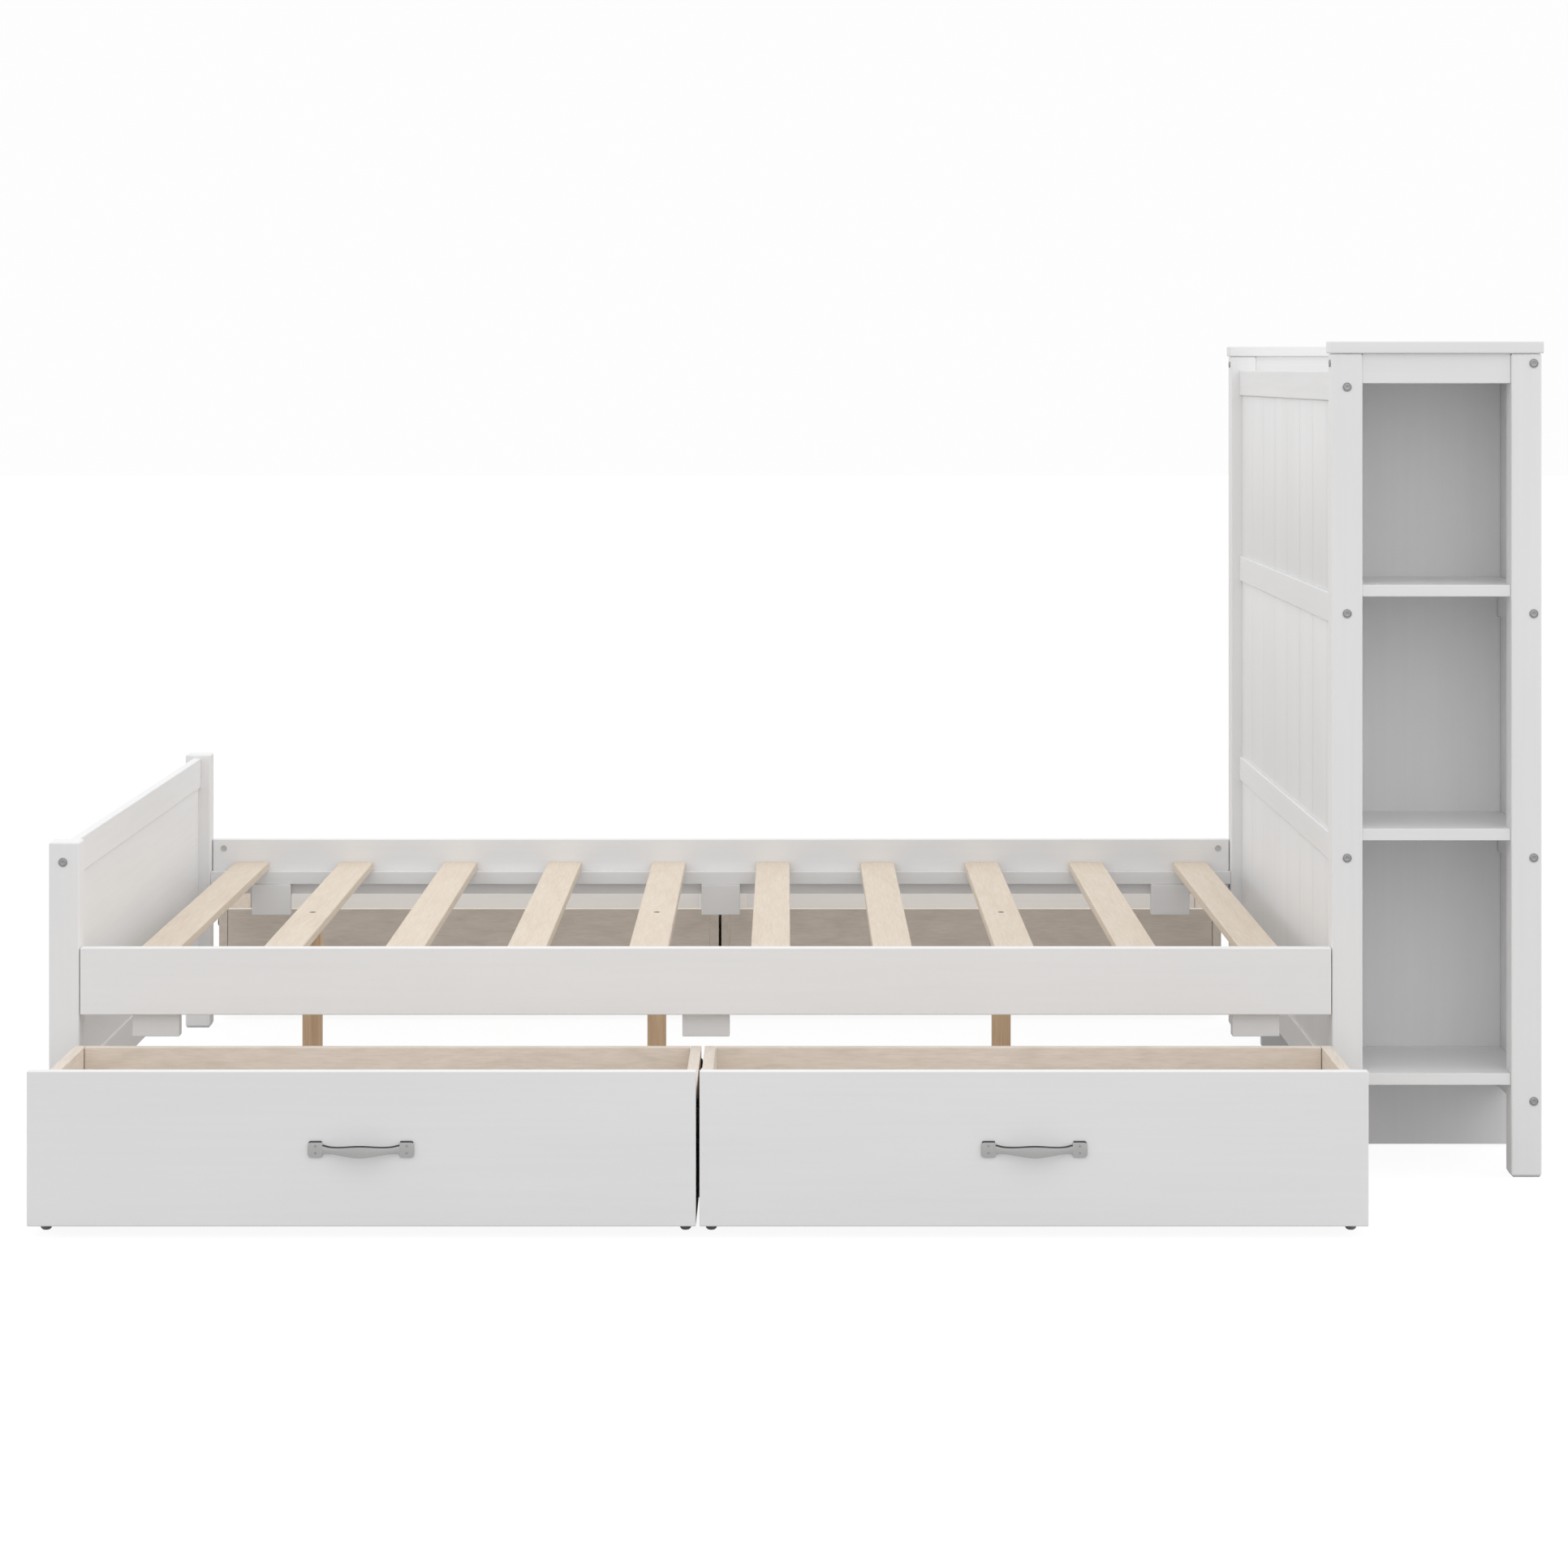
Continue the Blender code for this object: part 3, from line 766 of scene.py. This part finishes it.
def make_bookcase():
    for label, side in SIDES.items():
        rebuild_shaped("partition_" + label, "white_paint", "z", PANEL_EASE)
        for level in SHELVES:
            rebuild_shaped("shelf_" + level + "_" + label, "white_paint", "x", THIN_EASE)
        make_cap(label, side)
    rebuild_shaped("top_board", "white_paint", "y", THIN_EASE)


# ----------------------------------------------------------------------------------------------- drawers


def smooth_step(low, high, value):
    """0 up to low and 1 from high, with a smooth rise between."""
    t = min(max((value - low) / (high - low), 0.0), 1.0)
    return t * t * (3 - 2 * t)


def handle_stations():
    """(x, rise, half height) along a handle, from one end plate over the bow to the other."""
    half_long = HANDLE_LONG / 2
    inner_end = half_long - PLATE_LONG
    plate = []
    for step in range(CORNER_STEPS + 1):
        angle = pi / 2 * step / CORNER_STEPS
        from_end = PLATE_CORNER * (1 - cos(angle))
        plate.append((from_end, PLATE_HALF - PLATE_CORNER * (1 - sin(angle))))
    plate += [(PLATE_LONG - back, PLATE_HALF - off) for back, off in PLATE_INNER_CORNER]
    stations = [(-half_long + from_end, 0.0, half) for from_end, half in plate]
    for step in range(BOW_STEPS + 1):
        x = inner_end * (2 * step / BOW_STEPS - 1)
        outward = abs(x) / inner_end
        half = BOW_HALF - (BOW_HALF - NECK_HALF) * smooth_step(0.0, NECK_AT, outward)
        half += (ROOT_HALF - NECK_HALF) * smooth_step(NECK_AT, 1.0, outward)
        stations.append((x, HANDLE_RISE * cos(pi / 2 * outward), half))
    stations += [(half_long - from_end, 0.0, half) for from_end, half in reversed(plate)]
    return stations


def handle_mesh(centre_x, face_y, middle_z, side):
    """A flat strap that bows out between two end plates, with eased edges."""
    stations = handle_stations()
    thick = HANDLE_THICK / 2
    flat = thick - HANDLE_EASE
    top_deep, top_high = HANDLE_TOP_EASE
    bm = bmesh.new()
    rings = []
    for index, (x, rise, half) in enumerate(stations):
        before = stations[max(index - 1, 0)]
        after = stations[min(index + 1, len(stations) - 1)]
        along = Vector((after[0] - before[0], after[1] - before[1])).normalized()
        normal = Vector((-along.y, along.x))
        high = half - HANDLE_EASE
        section = (
            (thick, half - top_high),
            (thick - top_deep, half),
            (-flat, half),
            (-thick, high),
            (-thick, -high),
            (-flat, -half),
            (flat, -half),
            (thick, -high),
        )
        ring = []
        for out, dz in section:
            across = x + normal.x * out
            depth = rise + GAP + thick + normal.y * out
            ring.append(bm.verts.new((centre_x + across, face_y + side * depth, middle_z + dz)))
        rings.append(ring)
    bridge_rings(bm, rings)
    return bm


def paint_edge_shade(handle):
    """Paint shade on the handle's upward-facing faces, chiefly the strap's sloping upper edge, with a
    near-black nickel: a painted dark reflection, not the metal's own colour.
    """
    handle.data.materials.append(finish_of("nickel_painted_shade"))
    painted_shade_index = len(handle.data.materials) - 1
    for polygon in handle.data.polygons:
        if polygon.normal.z > SHADED_EDGE_FACING:
            polygon.material_index = painted_shade_index


def make_box_end(body, side, end):
    """One side board, its corner block behind the front, and the bolts near both its ends."""
    node = body + "_box"
    low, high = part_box(node)
    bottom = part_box(body + "_front")[0].z
    front_y, back_y = outer_y(node, side), inner_y(node, side)
    outer, sign = (low.x, 1) if end == "foot" else (high.x, -1)
    inner = outer + sign * BOX_BOARD
    xs = sorted((outer, inner))
    bm = eased_box((xs[0], low.y, bottom), (xs[1], high.y, high.z), THIN_EASE)
    add_piece(body + "_side_" + end, bm, "drawer_board", "y", body, node)

    xs = sorted((inner + sign * GAP, inner + sign * CORNER_BLOCK))
    ys = sorted((front_y, front_y - side * CORNER_BLOCK))
    bm = eased_box((xs[0], ys[0], bottom), (xs[1], ys[1], high.z), RAIL_EASE)
    add_piece(body + "_corner_block_" + end, bm, "white_paint", "z", body, node)

    bolt_ys = (front_y - side * SIDE_BOLT_BEHIND_FRONT, back_y + side * SIDE_BOLT_FROM_BACK)
    seats = [(outer, y, z) for y in bolt_ys for z in SIDE_BOLT_HEIGHTS]
    add_turned(body + "_bolts_" + end, BLACK_BOLT_PROFILE, seats, (-sign, 0, 0), "bolt_black", body)


def make_drawer_box(body, side):
    """Side boards, back board, front corner blocks and glides, in place of the frame's one box."""
    for end in ("foot", "head"):
        make_box_end(body, side, end)
    node = body + "_box"
    low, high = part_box(node)
    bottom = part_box(body + "_front")[0].z
    front_y, back_y = outer_y(node, side), inner_y(node, side)
    ys = sorted((back_y, back_y + side * BOX_BOARD))
    inner_x = (low.x + BOX_BOARD + END_SEAM, high.x - BOX_BOARD - END_SEAM)
    bm = eased_box((inner_x[0], ys[0], bottom), (inner_x[1], ys[1], high.z), THIN_EASE)
    add_piece(body + "_back", bm, "drawer_board", "x", body, node)

    glide_xs = (low.x + GLIDE_INSET, high.x - GLIDE_INSET)
    glide_ys = (front_y - side * GLIDE_BEHIND_BOX_FRONT, back_y + side * GLIDE_FROM_BACK)
    seats = [(x, y, 0.0) for x in glide_xs for y in glide_ys]
    add_turned(body + "_glides", GLIDE_PROFILE, seats, (0, 0, 1), "glide", body, node)


def make_handle(body, side):
    """The bow handle in the middle of a drawer's front, with two screws through each plate."""
    front = body + "_front"
    low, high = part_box(front)
    centre = (low + high) / 2
    face_y = outer_y(front, side)
    bm = handle_mesh(centre.x, face_y, centre.z, side)
    handle = add_piece(body + "_bow_handle", bm, "nickel", "x", body, body + "_handle")
    paint_edge_shade(handle)
    plate_x = HANDLE_LONG / 2 - PLATE_LONG / 2
    screw_y = face_y + side * (GAP + HANDLE_THICK)
    spots = [(dx, dz) for dx in (-plate_x, plate_x) for dz in (-SCREW_UP, SCREW_UP)]
    seats = [(centre.x + dx, screw_y, centre.z + dz) for dx, dz in spots]
    add_turned(body + "_handle_screws", SCREW_PROFILE, seats, (0, side, 0), "bolt_grey", body)


def make_drawers():
    for label, place in DRAWERS:
        side = SIDES[label]
        body = "drawer_%s_%s" % (label, place)
        rebuild_board(body + "_front", "white_paint", "x", FRONT_EASE)
        rebuild_shaped(body + "_bottom", "drawer_board", "x", PANEL_EASE)
        make_drawer_box(body, side)
        make_handle(body, side)


# ------------------------------------------------------------------------------------- stage and camera


def area_light(name, size, power, place):
    data = bpy.data.lights.new(name, "AREA")
    data.shape = "SQUARE"
    data.size = size
    data.energy = power
    light = bpy.data.objects.new(name, data)
    light.location = place
    light.rotation_euler = (Vector(LIGHT_AIM) - Vector(place)).to_track_quat("-Z", "Y").to_euler()
    light.visible_camera = False
    bpy.context.scene.collection.objects.link(light)


def make_floor(name, level, tone, glow):
    bm = bmesh.new()
    bmesh.ops.create_grid(bm, x_segments=1, y_segments=1, size=FLOOR_HALF)
    mesh = bpy.data.meshes.new(name)
    bm.to_mesh(mesh)
    bm.free()
    floor = bpy.data.objects.new(name, mesh)
    floor.location.z = level
    bpy.context.scene.collection.objects.link(floor)
    material, _, shader = new_finish(name, FLOOR_ROUGHNESS)
    shader.inputs["Base Color"].default_value = (tone, tone, tone, 1.0)
    shader.inputs["Specular IOR Level"].default_value = 0.0
    shader.inputs["Emission Color"].default_value = (1.0, 1.0, 1.0, 1.0)
    shader.inputs["Emission Strength"].default_value = glow
    mesh.materials.append(material)
    return floor


def make_stage():
    """A pale floor in a white surround, a large soft light in front and a soft fill past each end.

    The floor that shows glows, so that it stays as pale as the surround. The one that lights the bed from
    below is darker and glows only slightly, which gives the lower parts their shade.
    """
    shown = make_floor("floor", FLOOR_SHOWN_LEVEL, FLOOR_SHOWN_TONE, FLOOR_SHOWN_GLOW)
    shown.visible_diffuse = False
    shown.visible_glossy = False
    shown.visible_shadow = False
    bounce = make_floor("floor_bounce", FLOOR_BOUNCE_LEVEL, FLOOR_BOUNCE_TONE, FLOOR_BOUNCE_GLOW)
    bounce.visible_camera = False

    world = bpy.data.worlds.new("surround")
    bpy.context.scene.world = world
    world.use_nodes = True
    tree = world.node_tree
    background = tree.nodes["Background"]
    background.inputs["Color"].default_value = (1.0, 1.0, 1.0, 1.0)
    background.inputs["Strength"].default_value = SURROUND
    area_light("key", KEY_SIZE, KEY_POWER, KEY_AT)
    for name, (place, power) in FILLS.items():
        area_light(name, FILL_SIZE, power, place)
    bpy.context.scene.view_settings.view_transform = "Standard"


def make_camera():
    data = bpy.data.cameras.new("camera")
    data.lens = CAMERA_LENS
    data.sensor_width = CAMERA_SENSOR
    data.shift_x, data.shift_y = CAMERA_SHIFT
    camera = bpy.data.objects.new("camera", data)
    camera.location = CAMERA_AT
    camera.rotation_euler = (pi / 2, 0.0, 0.0)
    bpy.context.scene.collection.objects.link(camera)
    bpy.context.scene.camera = camera


make_posts()
make_post_bolts()
make_sides()
make_deck()
make_footboard()
make_headboard()
make_rear_panel()
make_bookcase()
make_drawers()
make_stage()
make_camera()
